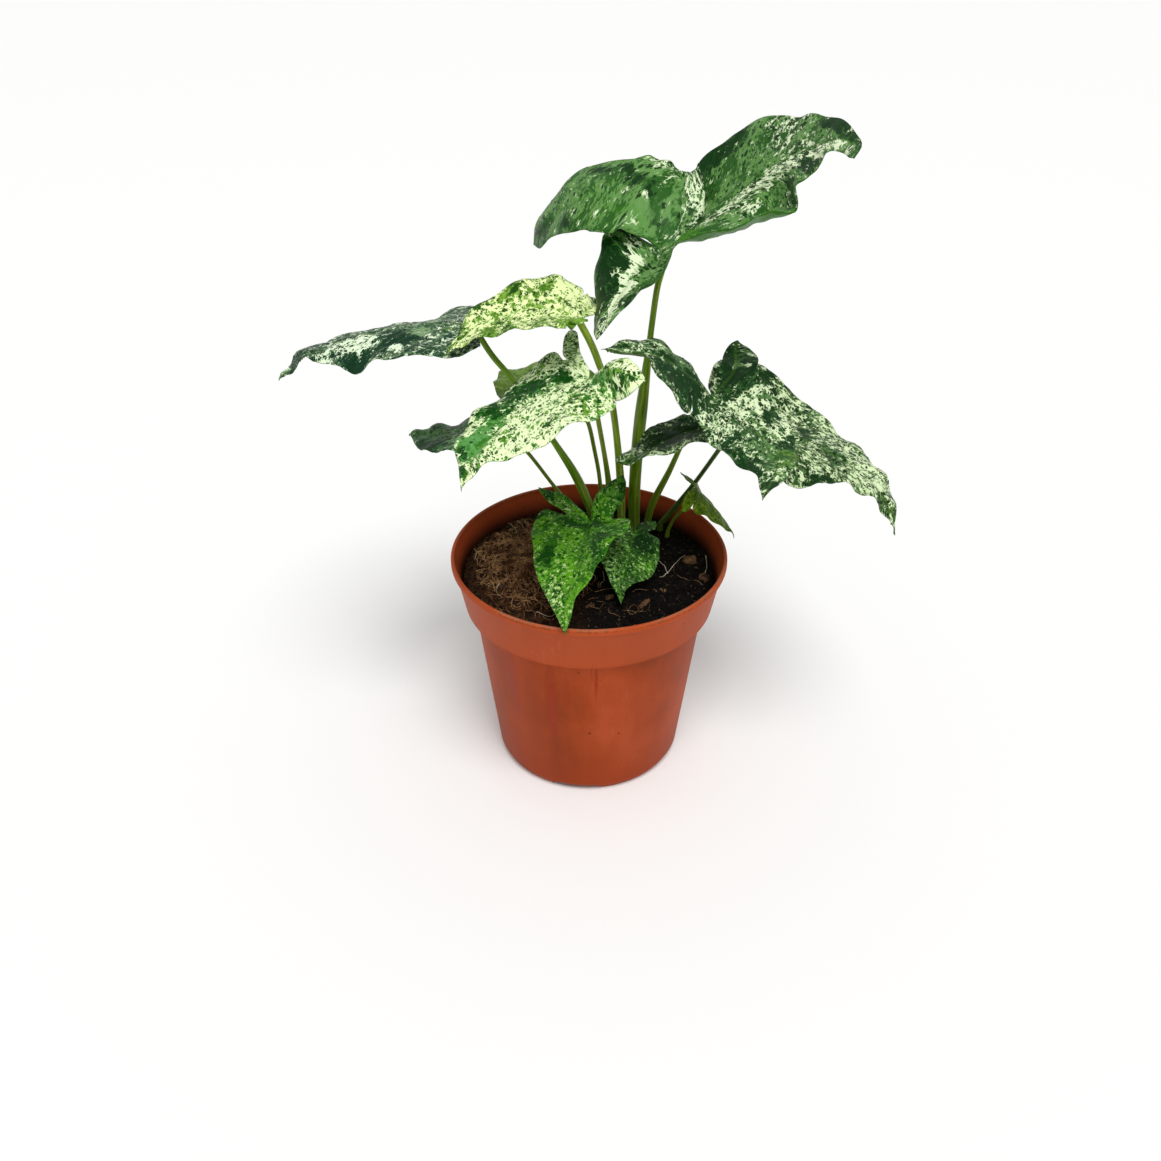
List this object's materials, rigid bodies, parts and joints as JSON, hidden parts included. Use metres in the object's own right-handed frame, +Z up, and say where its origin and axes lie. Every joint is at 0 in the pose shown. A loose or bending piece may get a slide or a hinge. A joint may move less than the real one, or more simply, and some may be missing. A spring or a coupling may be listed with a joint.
{
  "type": "potted arrowhead plant",
  "caption": "Small potted arrowhead plant with mottled arrow-shaped leaves on upright stalks, standing in a filled terracotta-coloured nursery pot with a collar and rolled lip.",
  "frame": {"origin": "centre of the pot's flat underside", "axes": "+Z up the plant, +X to the viewer's right and -Y towards the viewer when the two low front leaves face the viewer"},
  "size_m": [0.2351, 0.1348, 0.286],
  "materials": {
    "pot": "terracotta-coloured moulded plastic, satin, scuffed",
    "soil": "dark moist potting soil with brown fibres",
    "stalk": "smooth green stalk",
    "leaf_top": "satin blade, sage green with dark green and cream flecks",
    "leaf_cream": "satin blade, cream with green speckles",
    "leaf_far_left": "satin blade, dark green with cream flecks",
    "leaf_front_left": "satin blade, cream with dense green dots",
    "leaf_low_left": "satin blade, dark green with pale flecks",
    "leaf_back_left": "satin blade, olive green",
    "leaf_front_right": "satin blade, olive and cream flecks with dark green lobes",
    "leaf_far_right": "satin blade, fine cream and dark green speckle",
    "leaf_low_front": "satin blade, bright green with fine cream flecks",
    "leaf_low_small": "satin blade, dark green with pale flecks",
    "leaf_pale": "thin young blade, yellow-green"
  },
  "bodies": {
    "root": {"pot": "pot", "soil": "soil", "leaf_top": "leaf_top", "leaf_cream": "leaf_cream", "leaf_far_left": "leaf_far_left", "leaf_front_left": "leaf_front_left", "leaf_low_left": "leaf_low_left", "leaf_back_left": "leaf_back_left", "leaf_front_right": "leaf_front_right", "leaf_far_right": "leaf_far_right", "leaf_low_front": "leaf_low_front", "leaf_low_small": "leaf_low_small", "leaf_pale": "leaf_pale", "stalk_top": "stalk", "stalk_cream": "stalk", "stalk_far_left": "stalk", "stalk_front_left": "stalk", "stalk_low_left": "stalk", "stalk_back_left": "stalk", "stalk_front_right": "stalk", "stalk_far_right": "stalk", "stalk_low_front": "stalk", "stalk_low_small": "stalk", "stalk_pale": "stalk"}
  },
  "joints": []
}
